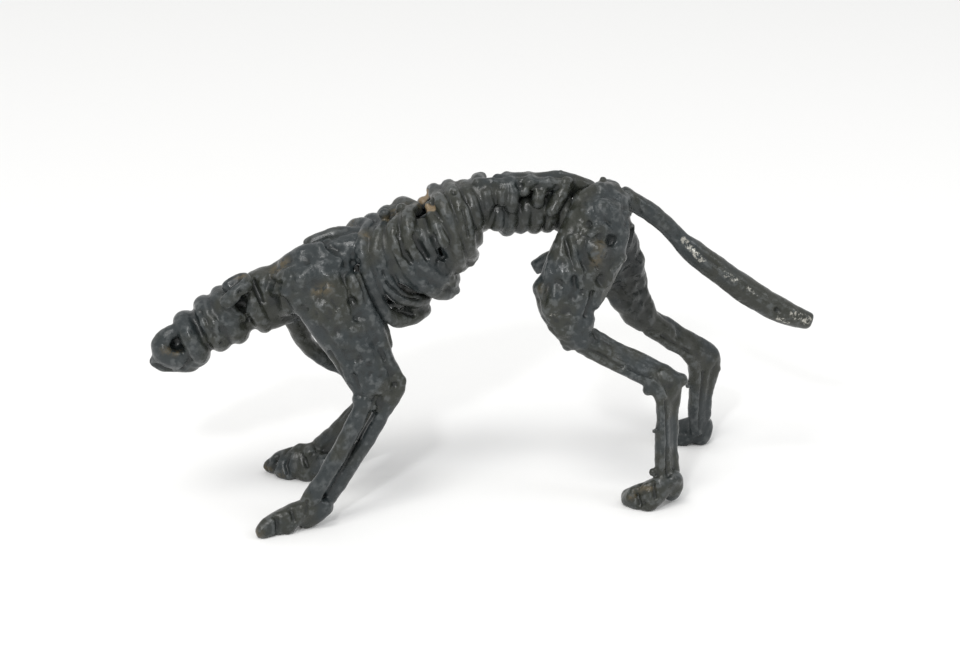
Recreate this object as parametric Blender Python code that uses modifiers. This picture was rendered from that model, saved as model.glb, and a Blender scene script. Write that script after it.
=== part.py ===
"""Prowling hound, bent and brazed from thick wire. Metres, +Z up, head towards -X.

The pose is laid out in a side view of the dog. A place there is (across, down, side):
two pixels of that view, and how far the point lies from the dog's midline, negative on
its left side. A place in a paw is (across, down, height above the ground) instead. Both,
and the widths of the built-up flesh, are millimetres on a dog of the drawn length.
"""

import math

import bmesh
import bpy
import numpy as np
from mathutils import Matrix, Vector

# Driving sizes
LENGTH = 0.180
ROD = 0.0041
WIRE = 0.0035
WAIST_WIRE = 0.0032
STUB_THICKNESS = 0.0040
GAP = 0.0003

# The side view: a camera that looks at the dog from its left, a little from the front and above
DRAWN_LENGTH_MM = 180.0
MM = LENGTH / DRAWN_LENGTH_MM
PIXEL = 0.2667 * MM
VIEW_SIZE = (960, 645)
VIEW_AZIMUTH = math.radians(-11.0)
VIEW_ELEVATION = math.radians(20.0)
VIEW_DISTANCE = 700.0 * MM
VIEW_TARGET = Vector((0.0, 0.0, 48.3 * MM))
VIEW_BACK = Vector((
    math.sin(VIEW_AZIMUTH) * math.cos(VIEW_ELEVATION),
    -math.cos(VIEW_AZIMUTH) * math.cos(VIEW_ELEVATION),
    math.sin(VIEW_ELEVATION),
))
VIEW_RIGHT = Vector((0.0, 0.0, 1.0)).cross(VIEW_BACK).normalized()
VIEW_UP = VIEW_BACK.cross(VIEW_RIGHT)
VIEW_EYE = VIEW_TARGET + VIEW_BACK * VIEW_DISTANCE
VIEW_FOCAL = VIEW_DISTANCE / PIXEL

# How finely the solids are made
TRACE_STEP = 1.1 * MM
COIL_STEP = 2.9 * MM
WIRE_STEP = 3.8 * MM
ROD_STEP = 4.2 * MM
WIRE_SIDES = 6
ROD_SIDES = 8
LOFT_SIDES = 16
MELT_VOXEL = 0.8 * MM
MELT_STEP = 2.2 * MM
MELT_LOSS_MM = 0.25
PAW_FACES = 240
FLESH_FACES = 290
TAIL_SIDES = 10
BEND_STEPS = 24
WELD = 0.00003
ROOM = GAP * 1.25

# How wires that run into each other are pressed apart
CONTACT_SPARE = GAP / 2
PRESS_ROUNDS = 90
PRESS_SHARE = 0.75
SAME_STRETCH = 2.4

# Spine, from the withers over the ribs and the waist coil into the croup
SPINE = [
    (306, 248, 0), (322, 239, 0), (340, 234, 0), (356, 236, 0), (372, 241, 0), (386, 238, 0),
    (400, 234, 0), (415, 229, 0), (427, 224, 0), (438, 215, 0), (451, 205, 0), (466, 202, 0),
    (477, 200, 0), (488, 190, 0), (502, 184, 0), (530, 183, 0), (555, 181, 0), (578, 185, 0),
    (592, 190, 0),
]

# Ribs: the top over the spine, the left side going down, and the lowest place on the midline
RIBS = {
    "rib_1": ((375, 225), [(365, 238, -6), (363, 252, -9), (366, 268, -10), (370, 286, -10.4),
                           (376, 304, -10.4), (385, 317, -10), (398, 322, -8.5), (411, 319, -6.5),
                           (421, 313, -3.6)], (426, 307)),
    "rib_2": ((388, 224), [(378, 232, -6), (375, 246, -9), (376, 263, -10.2), (381, 279, -10.5),
                           (392, 292, -10.3), (405, 300, -8.6), (418, 301, -5.8)], (427, 295)),
    "rib_3": ((403, 219), [(391, 226, -6), (392, 240, -9.4), (400, 256, -10.4), (409, 270, -10.5),
                           (420, 282, -10), (433, 290, -8), (444, 293, -4.6)], (451, 290)),
    "rib_4": ((418, 210), [(406, 220, -6), (409, 234, -9.4), (416, 251, -10.4), (425, 267, -10.5),
                           (437, 276, -8.8), (448, 281, -5)], (455, 279)),
    "rib_5": ((439, 198), [(438, 203, -5.4), (446, 215, -8.2), (454, 229, -9.4), (460, 242, -9),
                           (463, 254, -6.8), (462, 263, -3.6)], (463, 264)),
    "rib_6": ((452, 188), [(452, 199, -5.5), (458, 213, -8.2), (464, 228, -8.8), (468, 241, -7.4),
                           (471, 252, -4.2)], (472, 254)),
    "rib_7": ((466, 186), [(467, 198, -5), (471, 212, -7.3), (473, 226, -7.2), (476, 238, -4.3)],
              (478, 241)),
    "rib_8": ((481, 186), [(482, 194, -4.3), (482, 208, -6), (482, 221, -5.3), (485, 230, -2.9)],
              (487, 231)),
}

# Short ribs: each starts beside the spine and ends free on the flank
SHORT_RIBS = {
    "short_rib_1": [(419, 216, -4.2), (424, 226, -7.8), (429, 237, -9.8), (432, 248, -10.4),
                    (429, 258, -10.4)],
    "short_rib_2": [(429, 211, -4.2), (435, 220, -8), (442, 232, -10), (450, 244, -10.6)],
}

# Legs: two rods side by side down each foreleg, two thinner wires down each hind leg
FORELEG_RODS = {
    "left_foreleg_front_rod": [
        (367, 380, -13.6), (365, 397, -14.2), (356, 420, -15.2), (338, 455, -16.8),
        (323, 479, -17.4), (313, 494, -17.6), (306, 504, -17.6)],
    "left_foreleg_rear_rod": [
        (356, 272, -10.5), (360, 289, -11.4), (366, 306, -11.6), (375, 322, -11.6),
        (380, 338, -11.8), (382, 355, -12), (391, 370, -12.2), (399, 382, -12.2), (394, 394, -12.2),
        (383, 411, -12.4), (358, 453, -13.2), (342, 476, -13.8), (330, 494, -14.2),
        (322, 506, -14.6)],
    "right_foreleg_front_rod": [
        (378, 386, 12.5), (368, 401, 13.4), (355, 416, 14.8), (339, 431, 16.2), (323, 443, 17.4),
        (312, 451, 18)],
    "right_foreleg_rear_rod": [
        (380, 370, 12.2), (390, 375, 12), (393, 385, 11.8), (386, 398, 12), (366, 420, 12.8),
        (348, 440, 13.8), (333, 455, 14.8), (322, 463, 15.4)],
}
HIND_LEG_WIRES = {
    "left_hind_leg_front_wire": [
        (582, 348, -14.8), (602, 358, -15.8), (625, 369, -17), (645, 379, -18.2),
        (657, 388, -19), (662, 402, -19.4), (662, 440, -19.8), (662, 465, -20.2), (662, 484, -20.4)],
    "left_hind_leg_rear_wire": [
        (590, 334, -12.4), (605, 343, -12.8), (621, 351, -13.6), (646, 363, -14.6),
        (664, 371, -15.6), (674, 377, -16.2), (676, 387, -16.4), (672, 402, -16.4),
        (671, 430, -16.6), (671, 460, -17), (673, 480, -17.6), (674, 488, -18)],
    "right_hind_leg_front_wire": [
        (646, 328, 12.2), (668, 341, 12.6), (684, 351, 13.4), (693, 362, 14.6), (695, 383, 15.8),
        (694, 403, 16.8), (695, 422, 17.8), (697, 433, 18.4)],
    "right_hind_leg_rear_wire": [
        (652, 317, 14.4), (670, 327, 15), (694, 341, 16.2), (710, 350, 17), (714, 361, 17.6),
        (710, 378, 18.4), (705, 396, 19), (703, 415, 19.8), (703, 431, 20.4)],
}

# Built-up flesh: (across, down, side, half width in the view's plane, half depth)
FLESH = {
    "neck": [
        (255, 305, 0, 7.6, 6.0), (264, 300, 0, 8.4, 6.4), (276, 296, 0, 8.0, 6.0),
        (288, 292, 0, 8.6, 5.4), (300, 286, 0, 9.4, 4.6)],
    "left_shoulder": [
        (313, 246, -2.6, 4.6, 2.8), (319, 256, -4.2, 7.8, 4.4), (321, 272, -6.5, 8.2, 5.0),
        (323, 290, -8.2, 8.4, 5.2), (330, 308, -9.4, 7.8, 5.0), (340, 325, -10.2, 7.2, 4.6),
        (350, 342, -11.0, 6.8, 4.2), (360, 360, -11.8, 6.3, 3.9), (369, 378, -12.6, 5.8, 3.6),
        (376, 394, -13.2, 4.6, 3.0)],
    "right_shoulder": [
        (325, 247, 2.6, 4.4, 2.8), (325, 258, 4.2, 7.2, 4.2), (318, 272, 6.2, 7.0, 4.6),
        (306, 289, 8.2, 5.0, 4.2), (297, 304, 9.8, 3.7, 3.6), (294, 319, 11.0, 2.8, 3.0),
        (301, 334, 11.6, 2.3, 2.8), (308, 346, 12.0, 2.2, 2.8), (320, 356, 12.2, 2.3, 2.8),
        (336, 362, 12.4, 2.5, 3.0), (356, 370, 12.5, 3.2, 3.2), (373, 379, 12.5, 4.0, 3.4)],
    "left_haunch": [
        (598, 185, -2.2, 4.6, 2.2), (600, 192, -3.4, 6.6, 3.6), (600, 207, -6.0, 7.4, 5.4),
        (598, 227, -8.2, 8.6, 6.0), (589, 250, -10.4, 9.8, 5.6), (578, 274, -12.0, 9.5, 5.0),
        (569, 296, -12.6, 9.2, 4.5), (565, 312, -13.0, 7.0, 4.2), (573, 329, -13.5, 4.9, 3.7),
        (580, 347, -14.0, 4.0, 3.2)],
    "right_haunch": [
        (602, 188, 2.2, 3.8, 2.2), (604, 195, 3.4, 5.0, 3.6), (607, 207, 6.0, 5.6, 5.2),
        (608, 227, 8.2, 5.6, 5.6), (614, 250, 10.0, 7.2, 5.2), (621, 274, 11.4, 6.6, 4.6),
        (629, 296, 12.4, 5.4, 4.2), (638, 312, 12.8, 4.5, 3.7), (648, 324, 13.0, 3.2, 3.0)],
}
KNEE_NUB = (542, 289, -12.4, 2.4)

# Tail: (across, down, side, radius)
TAIL = [
    (620, 195, 0, 2.5), (633, 202, 0, 2.2), (646, 209, 0, 2.2), (660, 220, 0, 2.25),
    (671, 230, 0, 2.1), (681, 242, 0, 2.15), (689, 249, 0, 2.9), (703, 260, 0, 3.2),
    (721, 273, 0, 3.25), (740, 287, 0, 3.4), (760, 300, 0, 3.4), (779, 310, 0, 3.2),
    (792, 316, 0, 2.8), (802, 319, 0, 2.5), (810, 321, 0, 2.0),
]
SHEATH_STUB = ((576, 247, -4.0), (532, 269, -2.6))

# Head: a coil along the skull, a folded wire for each ear, and a nose of thick bends melted
# together: (across, down, side, radius) along each bend, the jaw last
HEAD_COIL_AXIS = ((196, 334, 0), (256, 304, 0))
HEAD_COIL_RADII_MM = (5.6, 6.1)
HEAD_COIL_TURNS = 4.2
NOSE = [
    [(197, 327, -1.4, 2.6), (182, 331, -1.4, 2.1), (168, 334, -1.4, 2.2), (161, 344, -1.2, 2.9),
     (165, 355, -1.4, 2.8), (177, 358, -1.6, 2.7), (197, 355, -1.6, 2.9)],
    [(199, 338, 2.0, 3.4), (180, 342, 2.2, 3.2), (168, 344, 2.0, 3.1)],
    [(156, 361, 0.4, 1.8), (164, 365, 0.4, 2.1), (176, 364, 0.4, 2.2), (190, 363, 0.2, 2.4)],
]
LEFT_EAR = [
    (223, 305, -7.6), (230, 298, -8.3), (239, 290, -8.3), (247, 285, -6.8), (249, 281, -4.6),
    (243, 281, -3.4), (234, 284, -3.8), (225, 290, -4.8),
]
RIGHT_EAR_DROP_MM = 5.5

# Waist coil, hung from the spine
WAIST_AXIS = ((490, 213, 0), (564, 210, 0))
WAIST_RADIUS_MM = 4.5
WAIST_TURNS = 5.5

# Paws: each toe, and last the heel, is a fat rod with a radius
PAWS = {
    "left_forepaw": [
        ([(316, 504, 7), (301, 512, 5.2), (292, 520, 3.4), (288, 528, 1.5)], 1.8),
        ([(312, 503, 7), (290, 511, 5.4), (278, 520, 3.6), (274, 530, 1.5)], 1.7),
        ([(308, 506, 6.4), (284, 516, 4.6), (269, 524, 3.2), (262, 532, 1.4)], 1.8),
        ([(306, 505, 6), (286, 513, 4.6), (273, 521, 3), (267, 529, 1.4)], 1.7),
        ([(324, 507, 5.6), (315, 514, 3.8), (306, 520, 2)], 2.4)],
    "right_forepaw": [
        ([(318, 448, 8.2), (300, 452, 6.8), (284, 456, 5), (275, 462, 3), (271, 467, 1.5)], 1.8),
        ([(316, 454, 6.8), (297, 459, 5), (286, 465, 3.2), (280, 472, 1.5)], 1.8),
        ([(317, 460, 5.4), (304, 465, 3.6), (294, 471, 2.2), (288, 474, 1.4)], 1.7),
        ([(325, 462, 6), (316, 469, 3.2), (306, 473, 2)], 2.4)],
    "left_hind_paw": [
        ([(660, 482, 7.5), (646, 492, 4.6), (635, 495, 3.6), (628, 500, 1.5)], 1.8),
        ([(661, 484, 7), (649, 492, 4.6), (641, 498, 3), (636, 503, 1.4)], 1.7),
        ([(664, 484, 7), (660, 493, 4.4), (654, 500, 2.6), (648, 504, 1.6)], 2.0),
        ([(658, 482, 7.2), (646, 489, 4.8), (634, 492, 3.4), (627, 496, 1.5)], 1.7),
        ([(673, 478, 8), (676, 487, 5), (672, 493, 2.8)], 2.1)],
    "right_hind_paw": [
        ([(698, 420, 7), (686, 425, 4.5), (674, 430, 3), (668, 435, 1.5)], 1.8),
        ([(699, 424, 6), (688, 431, 3.6), (678, 436, 2.2), (672, 440, 1.4)], 1.7),
        ([(700, 428, 5), (690, 436, 2.6), (682, 440, 1.4)], 1.7),
        ([(703, 424, 5.5), (704, 431, 3.4), (700, 437, 1.9)], 2.4)],
}


def view_ray(across, down):
    """The direction in which the view's eye sees this place."""
    return (
        VIEW_RIGHT * ((across - VIEW_SIZE[0] / 2) / VIEW_FOCAL)
        - VIEW_UP * ((down - VIEW_SIZE[1] / 2) / VIEW_FOCAL)
        - VIEW_BACK
    )


def seen(across, down, side):
    """The point in space at this place of the view and this far from the midline."""
    ray = view_ray(across, down)
    return VIEW_EYE + ray * ((side * MM - VIEW_EYE.y) / ray.y)


def seen_at_height(across, down, height):
    """The point in space at this place of the view and this high above the ground."""
    ray = view_ray(across, down)
    return VIEW_EYE + ray * ((height * MM - VIEW_EYE.z) / ray.z)


def mirrored(point):
    """The same point on the dog's other side."""
    return Vector((point.x, -point.y, point.z))


def spaced(line, step, closed):
    """A line sampled at an even step. A closed one doesn't repeat its first point."""
    whole = np.vstack([line, line[:1]]) if closed else line
    runs = np.linalg.norm(np.diff(whole, axis=0), axis=1)
    along = np.concatenate([[0], np.cumsum(runs)])
    count = max(3, round(along[-1] / step))
    marks = np.linspace(0, along[-1], count + 1)
    if closed:
        marks = marks[:-1]
    return np.stack([np.interp(marks, along, whole[:, k]) for k in range(3)], axis=1)


def curve_through(points, closed):
    """A finely sampled smooth curve through the given points."""
    p = np.array(points, float)
    if closed:
        p = np.vstack([p[-1], p, p[0], p[1]])
    else:
        p = np.vstack([2 * p[0] - p[1], p, 2 * p[-1] - p[-2]])
    t = np.linspace(0, 1, BEND_STEPS, endpoint=False)[:, None]
    stretches = []
    for a, b, c, d in zip(p, p[1:], p[2:], p[3:]):
        stretches.append(0.5 * (
            2 * b + (c - a) * t + (2 * a - 5 * b + 4 * c - d) * t ** 2
            + (3 * b - a - 3 * c + d) * t ** 3
        ))
    if not closed:
        stretches.append(p[-2][None])
    return spaced(np.vstack(stretches), TRACE_STEP, closed)


class Route:
    """A wire's centre line, whether it closes on itself, and the wire's thickness."""

    def __init__(self, line, thickness, closed=False):
        self.line = line
        self.thickness = thickness
        self.closed = closed


def rib_route(top, left_side, lowest):
    """A rib's loop over the spine. Its right side mirrors its left one."""
    left = [seen(*place) for place in left_side]
    right = [mirrored(point) for point in left]
    loop = [seen(*top, 0)] + left + [seen(*lowest, 0)] + right[::-1]
    return Route(curve_through(loop, closed=True), WIRE, closed=True)


def helix(start, end, radii, turns, first_angle):
    """A coil round the line from start to end, with its turns in upright planes.

    It starts at the first angle, which is 0 on top and half a turn below.
    """
    axis = (end - start).normalized()
    side = Vector((0, 1, 0))
    up = axis.cross(side)
    steps = round(turns * BEND_STEPS)
    points = []
    for k in range(steps + 1):
        share = k / steps
        angle = first_angle + math.tau * turns * share
        radius = radii[0] + (radii[1] - radii[0]) * share
        centre = start.lerp(end, share)
        points.append(centre + (up * math.cos(angle) + side * math.sin(angle)) * radius)
    return spaced(np.array(points), TRACE_STEP, closed=False)


def wire_routes():
    """Every wire's route, by name."""
    def open_route(points, thickness):
        return Route(curve_through(points, closed=False), thickness)

    routes = {"spine_rod": open_route([seen(*place) for place in SPINE], ROD)}
    for name, (top, side, lowest) in RIBS.items():
        routes[name] = rib_route(top, side, lowest)
    for name, places in SHORT_RIBS.items():
        left = [seen(*place) for place in places]
        routes["left_" + name] = open_route(left, WIRE)
        routes["right_" + name] = open_route([mirrored(p) for p in left], WIRE)

    head_radii = [radius * MM for radius in HEAD_COIL_RADII_MM]
    head_ends = [seen(*place) for place in HEAD_COIL_AXIS]
    routes["head_coil"] = Route(helix(*head_ends, head_radii, HEAD_COIL_TURNS, 0), ROD)
    ear = [seen(*place) for place in LEFT_EAR]
    drop = Vector((0, 0, RIGHT_EAR_DROP_MM * MM))
    routes["left_ear"] = open_route(ear, WIRE)
    routes["right_ear"] = open_route([mirrored(p) - drop for p in ear], WIRE)

    waist_ends = [seen(*place) for place in WAIST_AXIS]
    routes["waist_coil"] = Route(
        helix(*waist_ends, [WAIST_RADIUS_MM * MM] * 2, WAIST_TURNS, math.pi), WAIST_WIRE
    )
    for name, places in FORELEG_RODS.items():
        routes[name] = open_route([seen(*place) for place in places], ROD)
    for name, places in HIND_LEG_WIRES.items():
        routes[name] = open_route([seen(*place) for place in places], WIRE)
    return routes


def smoothed(values, closed):
    """A run of values along a wire, each blended with its two neighbours."""
    if closed:
        before, after = np.roll(values, 1, axis=0), np.roll(values, -1, axis=0)
    else:
        before = np.vstack([values[:1], values[:-1]])
        after = np.vstack([values[1:], values[-1:]])
    return (before + 2 * values + after) / 4


def press_apart(routes):
    """Moves wires, and the turns of one wire, that run into each other until they just clear."""
    every = list(routes.values())
    owner = np.concatenate([np.full(len(route.line), k) for k, route in enumerate(every)])
    order = np.concatenate([np.arange(len(route.line)) for route in every])
    count = np.array([len(route.line) for route in every])[owner]
    closed = np.array([route.closed for route in every])[owner]
    radius = np.array([route.thickness / 2 for route in every])[owner]
    points = np.vstack([route.line for route in every])
    starts = np.cumsum([0] + [len(route.line) for route in every])

    steps_apart = np.abs(order[:, None] - order[None, :])
    shorter_way = np.minimum(steps_apart, count[:, None] - steps_apart)
    steps_apart = np.where(closed[:, None], shorter_way, steps_apart)
    clear = radius[:, None] + radius[None, :] + GAP + CONTACT_SPARE
    same_stretch = (owner[:, None] == owner[None, :]) & (steps_apart * TRACE_STEP < SAME_STRETCH * clear)
    for _ in range(PRESS_ROUNDS):
        offset = points[:, None, :] - points[None, :, :]
        distance = np.linalg.norm(offset, axis=2)
        lack = np.where(same_stretch, 0, np.clip(clear - distance, 0, None))
        if lack.max() < GAP / 15:
            break
        push = offset / np.maximum(distance, TRACE_STEP / 1000)[:, :, None] * lack[:, :, None]
        crowd = np.maximum((lack > 0).sum(axis=1), 1)[:, None]
        move = push.sum(axis=1) / crowd * PRESS_SHARE
        for first, last, route in zip(starts, starts[1:], every):
            for _ in range(3):
                move[first:last] = smoothed(move[first:last], route.closed)
        points = points + move
    for first, last, route in zip(starts, starts[1:], every):
        route.line = points[first:last]
    return routes


def tube(name, line, radii, sides, closed, collection):
    """A rod along a line: a curve with a bevel, turned into one closed mesh."""
    curve = bpy.data.curves.new(name, "CURVE")
    curve.dimensions = "3D"
    curve.bevel_depth = 1.0
    curve.bevel_resolution = (sides - 4) // 2
    curve.use_fill_caps = True
    spline = curve.splines.new("POLY")
    spline.points.add(len(line) - 1)
    for point, place, radius in zip(spline.points, line, np.broadcast_to(radii, len(line))):
        point.co = (*place, 1.0)
        point.radius = radius
    spline.use_cyclic_u = closed
    rod = link(name, curve, collection)
    graph = bpy.context.evaluated_depsgraph_get()
    mesh = bpy.data.meshes.new_from_object(rod.evaluated_get(graph))
    bpy.data.objects.remove(rod)
    work = bmesh.new()
    work.from_mesh(mesh)
    bmesh.ops.remove_doubles(work, verts=work.verts, dist=WELD)
    bmesh.ops.recalc_face_normals(work, faces=work.faces)
    work.to_mesh(mesh)
    work.free()
    return link(name, mesh, collection)


def link(name, data, collection):
    """An object with this data, in this collection."""
    obj = bpy.data.objects.new(name, data)
    collection.objects.link(obj)
    return obj


def loft(name, sections, collection):
    """A closed body through oval sections."""
    centres = [seen(*section[:3]) for section in sections]
    side = Vector((0, 1, 0))
    work = bmesh.new()
    rings = []
    for k, (centre, (*_, half_width, half_depth)) in enumerate(zip(centres, sections)):
        along = centres[min(k + 1, len(centres) - 1)] - centres[max(k - 1, 0)]
        across = along.cross(side).normalized()
        deep = across.cross(along).normalized()
        ring = []
        for j in range(LOFT_SIDES):
            angle = math.tau * j / LOFT_SIDES
            out = (
                across * (half_width + MELT_LOSS_MM) * math.cos(angle)
                + deep * (half_depth + MELT_LOSS_MM) * math.sin(angle)
            )
            ring.append(work.verts.new(centre + out * MM))
        rings.append(ring)
    for low, high in zip(rings, rings[1:]):
        for j in range(LOFT_SIDES):
            k = (j + 1) % LOFT_SIDES
            work.faces.new((low[j], low[k], high[k], high[j]))
    for ring in (rings[0], rings[-1]):
        work.faces.new(ring)
    bmesh.ops.recalc_face_normals(work, faces=work.faces)
    mesh = bpy.data.meshes.new(name)
    work.to_mesh(mesh)
    work.free()
    return link(name, mesh, collection)


def ball(name, centre, radius, collection):
    """A small round body."""
    work = bmesh.new()
    place = Matrix.Translation(Vector(centre))
    bmesh.ops.create_icosphere(work, subdivisions=2, radius=radius, matrix=place)
    mesh = bpy.data.meshes.new(name)
    work.to_mesh(mesh)
    work.free()
    return link(name, mesh, collection)


def apply_modifiers(obj):
    """Gives the object the mesh that its modifiers make, and removes them."""
    graph = bpy.context.evaluated_depsgraph_get()
    mesh = bpy.data.meshes.new_from_object(obj.evaluated_get(graph))
    obj.modifiers.clear()
    old = obj.data
    obj.data = mesh
    bpy.data.meshes.remove(old)


def keep_largest(obj):
    """Closes up slivers and deletes every loose body of a mesh but the largest."""
    work = bmesh.new()
    work.from_mesh(obj.data)
    bmesh.ops.remove_doubles(work, verts=work.verts, dist=WELD)
    bmesh.ops.dissolve_degenerate(work, edges=work.edges, dist=WELD)
    left = set(work.verts)
    bodies = []
    while left:
        frontier = [left.pop()]
        body = set(frontier)
        while frontier:
            for edge in frontier.pop().link_edges:
                for vert in left.intersection(edge.verts):
                    left.discard(vert)
                    body.add(vert)
                    frontier.append(vert)
        bodies.append(body)
    bodies.sort(key=len)
    spare = [vert for body in bodies[:-1] for vert in body]
    bmesh.ops.delete(work, geom=spare, context="VERTS")
    work.to_mesh(obj.data)
    work.free()


def melt(name, bodies, faces, collection):
    """One closed skin round several bodies that run into each other."""
    work = bmesh.new()
    for body in bodies:
        work.from_mesh(body.data)
        bpy.data.objects.remove(body)
    mesh = bpy.data.meshes.new(name)
    work.to_mesh(mesh)
    work.free()
    obj = link(name, mesh, collection)
    remesh = obj.modifiers.new("melt", "REMESH")
    remesh.mode = "VOXEL"
    remesh.voxel_size = MELT_VOXEL
    smooth = obj.modifiers.new("soften", "SMOOTH")
    smooth.factor = 0.5
    smooth.iterations = 2
    apply_modifiers(obj)
    fewer = obj.modifiers.new("fewer", "DECIMATE")
    fewer.ratio = min(1.0, faces / (2 * len(obj.data.polygons)))
    apply_modifiers(obj)
    keep_largest(obj)
    return obj


def fat_rod(name, points, radii, collection):
    """A round-ended rod of changing thickness, to be melted into its neighbours."""
    route = curve_through(points, closed=False)
    line = spaced(route, MELT_STEP, closed=False)
    place = np.linspace(0, len(radii) - 1, len(line))
    swell = (np.interp(place, np.arange(len(radii)), radii) + MELT_LOSS_MM) * MM
    rod = tube(name, line, swell, ROD_SIDES, False, collection)
    tips = [ball(name + "_tip", line[k], swell[k], collection) for k in (0, -1)]
    return [rod] + tips


def paw(name, toes, collection):
    """A paw: its toes and heel melted together."""
    rods = []
    for places, radius in toes:
        points = [seen_at_height(*place) for place in places]
        rods += fat_rod(name + "_toe", points, [radius] * len(points), collection)
    return melt(name, rods, PAW_FACES, collection)


def nose(collection):
    """The nose: thick bends melted together round a blind nostril, over the jaw."""
    rods = []
    for bend in NOSE:
        points = [seen(*place[:3]) for place in bend]
        rods += fat_rod("nose_bend", points, [place[3] for place in bend], collection)
    return melt("nose", rods, PAW_FACES, collection)


def room_for(obj, collection):
    """A copy of a body grown by the gap on every side, to cut room for the body in its neighbours."""
    mesh = obj.data.copy()
    places = [vert.co + vert.normal * ROOM for vert in mesh.vertices]
    for vert, place in zip(mesh.vertices, places):
        vert.co = place
    room = link(obj.name + "_room", mesh, collection)
    room.hide_render = True
    room.display_type = "WIRE"
    return room


def box_of(obj):
    """The lowest and the highest corner of an object's box."""
    places = np.array([obj.matrix_world @ Vector(corner) for corner in obj.bound_box])
    return places.min(axis=0), places.max(axis=0)


def boxes_meet(first, second):
    """Whether two objects' boxes overlap."""
    (low_a, high_a), (low_b, high_b) = box_of(first), box_of(second)
    return bool(np.all(low_a < high_b) and np.all(low_b < high_a))


def cut(obj, room):
    """Takes the room's space out of an object, where they meet, and keeps the largest body."""
    if not boxes_meet(obj, room):
        return
    boolean = obj.modifiers.new("cut", "BOOLEAN")
    boolean.operation = "DIFFERENCE"
    boolean.solver = "EXACT"
    boolean.object = room
    apply_modifiers(obj)
    keep_largest(obj)


def slice_flat(obj, point, normal):
    """Cuts off everything past a plane and closes the cut with a flat face."""
    work = bmesh.new()
    work.from_mesh(obj.data)
    found = bmesh.ops.bisect_plane(
        work, geom=work.verts[:] + work.edges[:] + work.faces[:], dist=GAP / 1000,
        plane_co=point, plane_no=normal, clear_outer=True,
    )
    rim = [item for item in found["geom_cut"] if isinstance(item, bmesh.types.BMEdge)]
    bmesh.ops.holes_fill(work, edges=rim, sides=0)
    bmesh.ops.recalc_face_normals(work, faces=work.faces)
    work.to_mesh(obj.data)
    work.free()


def black_paint(name):
    """Satin black paint over rough metal."""
    material = bpy.data.materials.new(name + "_paint")
    material.use_nodes = True
    shader = material.node_tree.nodes["Principled BSDF"]
    shader.inputs["Base Color"].default_value = (0.022, 0.025, 0.024, 1.0)
    shader.inputs["Roughness"].default_value = 0.45
    shader.inputs["Metallic"].default_value = 0.0
    return material


def make_flesh(dog, cutters):
    """The built-up bodies and the paws, and the room that each one takes in its neighbours."""
    flesh = {}
    for name, sections in FLESH.items():
        bodies = [loft(name + "_core", sections, dog)]
        if name == "left_haunch":
            *place, radius = KNEE_NUB
            bodies.append(ball(name + "_nub", seen(*place), (radius + MELT_LOSS_MM) * MM, dog))
        flesh[name] = melt(name, bodies, FLESH_FACES, dog)
    for name, toes in PAWS.items():
        flesh[name] = paw(name, toes, dog)
    flesh["nose"] = nose(dog)
    rooms = {name: room_for(body, cutters) for name, body in flesh.items()}

    tail_line = [seen(*place[:3]) for place in TAIL]
    flesh["tail"] = tube("tail", tail_line, [place[3] * MM for place in TAIL],
                         TAIL_SIDES, False, dog)
    stub_line = [seen(*place) for place in SHEATH_STUB]
    flesh["sheath_stub"] = tube("sheath_stub", stub_line, STUB_THICKNESS / 2,
                                TAIL_SIDES, False, dog)

    for side, name in ((-1, "left"), (1, "right")):
        middle = Vector((0, side * GAP / 2, 0))
        slice_flat(flesh[name + "_shoulder"], middle, Vector((0, -side, 0)))
        slice_flat(flesh[name + "_haunch"], middle, Vector((0, -side, 0)))
        cut(flesh["neck"], rooms[name + "_shoulder"])
        cut(flesh["tail"], rooms[name + "_haunch"])
        cut(flesh["sheath_stub"], rooms[name + "_haunch"])
    for name in PAWS:
        slice_flat(flesh[name], Vector((0, 0, 0)), Vector((0, 0, -1)))
    return flesh, rooms


def make_wires(dog, rooms):
    """Every wire as a rod, cut off where it runs into a built-up body or a paw."""
    wires = {}
    for name, route in press_apart(wire_routes()).items():
        step, sides = (ROD_STEP, ROD_SIDES) if route.thickness == ROD else (WIRE_STEP, WIRE_SIDES)
        if name.endswith(("coil", "ear")):
            step = COIL_STEP
        line = spaced(route.line, step, route.closed)
        wires[name] = tube(name, line, route.thickness / 2, sides, route.closed, dog)
        for room in rooms.values():
            cut(wires[name], room)
    return wires


def centre_on_ground(pieces):
    """Puts the origin under the middle of the dog's box, at the ground."""
    boxes = [box_of(obj) for obj in pieces]
    low = np.min([box[0] for box in boxes], axis=0)
    high = np.max([box[1] for box in boxes], axis=0)
    shift = Matrix.Translation(-Vector(((low[0] + high[0]) / 2, (low[1] + high[1]) / 2, low[2])))
    for obj in pieces:
        obj.data.transform(shift)


def build():
    """Makes the whole dog, one object for each piece."""
    for obj in list(bpy.data.objects):
        bpy.data.objects.remove(obj)
    dog = bpy.data.collections.new("wire_dog")
    cutters = bpy.data.collections.new("cutters")
    for collection in (dog, cutters):
        bpy.context.scene.collection.children.link(collection)

    flesh, rooms = make_flesh(dog, cutters)
    wires = make_wires(dog, rooms)
    pieces = list(flesh.values()) + list(wires.values())
    centre_on_ground(pieces)
    for obj in pieces:
        obj.data.materials.clear()
        obj.data.materials.append(black_paint(obj.name))
        obj.data.shade_smooth()


build()
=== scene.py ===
"""The looks of the prowling wire hound: rods and built-up masses of brazing metal that have melted
into one another, under satin black paint that is chipped to bare metal on the tail.

Metres, in the frame's own axes. A place in the photograph is (across, down) in its pixels, and a
third number tells how far the point lies from the hound's midline, in millimetres, negative on the
side that faces the camera. Widths of marks are pixels of the photograph, their depths millimetres.
"""

import math
from collections.abc import Sequence
from typing import NamedTuple

import bmesh
import bpy
import numpy as np
from mathutils import Matrix, Vector, noise
from mathutils.bvhtree import BVHTree


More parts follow.
